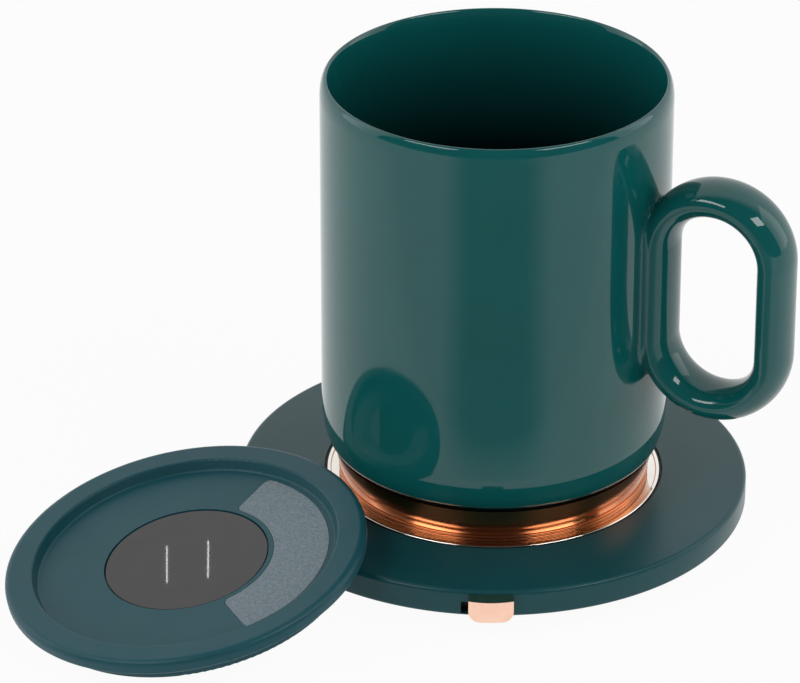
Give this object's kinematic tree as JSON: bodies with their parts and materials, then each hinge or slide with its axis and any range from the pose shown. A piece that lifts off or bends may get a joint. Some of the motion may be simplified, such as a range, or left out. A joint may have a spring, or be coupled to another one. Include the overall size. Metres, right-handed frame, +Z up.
{
  "type": "electric mug warmer",
  "caption": "Flat round electric mug warmer with a steel heating plate and a slide switch, with its handled mug and the mug's lid leaning on its edge.",
  "frame": {"origin": "on the table, under the centre of the round warmer", "axes": "+Z up, -Y the front with the switch, +X to the right seen from the front"},
  "size_m": [0.1825, 0.1493, 0.114],
  "materials": {
    "casing": "satin moulded teal-grey",
    "cover": "fine matt texture",
    "plate_steel": "polished stainless",
    "gasket": "matt black silicone",
    "film": "polyimide film with printed tracks",
    "insulation": "pressed fibre board",
    "steel": "plain zinc-plated",
    "glass_bead": "dipped bead",
    "board": "green solder mask",
    "chip": "black moulded package",
    "copper_wire": "insulated wire",
    "switch_plastic": "black moulded",
    "rose_gold": "rose gold plated, glossy",
    "foot_rubber": "matt rubber",
    "glaze": "glossy dark teal glaze",
    "copper": "polished copper",
    "lid_plastic": "smooth teal-grey",
    "seal": "silicone",
    "disc_plastic": "smooth dark grey",
    "frosted": "fine frosted texture"
  },
  "bodies": {
    "warmer_base": {"top_shell": "casing", "bottom_cover": "cover", "heating_plate": "plate_steel", "plate_gasket": "gasket", "heater_film": "film", "heat_insulator": "insulation", "plate_clamp_ring": "steel", "temperature_sensor": "glass_bead", "thermal_fuse": "steel", "circuit_board": "board", "socket_board": "board", "control_chip": "chip", "power_transistor": "chip", "heater_leads": "copper_wire", "power_leads": "copper_wire", "slide_switch_body": "steel", "power_socket": "steel", "socket_tongue": "switch_plastic", "cover_screws": "steel", "clamp_screws": "steel", "board_screws": "steel", "rubber_feet": "foot_rubber"},
    "power_switch": {"switch_knob": "rose_gold", "switch_carrier": "switch_plastic", "switch_lever": "switch_plastic"},
    "mug": {"mug_body": "glaze", "mug_handle": "glaze", "mug_foot_band": "copper", "mug_foot_disc": "steel"},
    "lid": {"lid_shell": "lid_plastic", "lid_base": "lid_plastic", "lid_seal": "seal", "lid_disc": "disc_plastic", "lid_patch": "frosted"}
  },
  "joints": [
    {"name": "switch_slide", "type": "slide", "parent": "warmer_base", "child": "power_switch", "axis": [-1, 0, 0], "range_m": [0, 0.0015]},
    {"name": "mug_lift", "type": "slide", "parent": "warmer_base", "child": "mug", "axis": [0, 0, 1], "range_m": [0, 0.12]},
    {"name": "lid_lift", "type": "slide", "parent": "warmer_base", "child": "lid", "axis": [0, 0, 1], "range_m": [0, 0.05]}
  ]
}
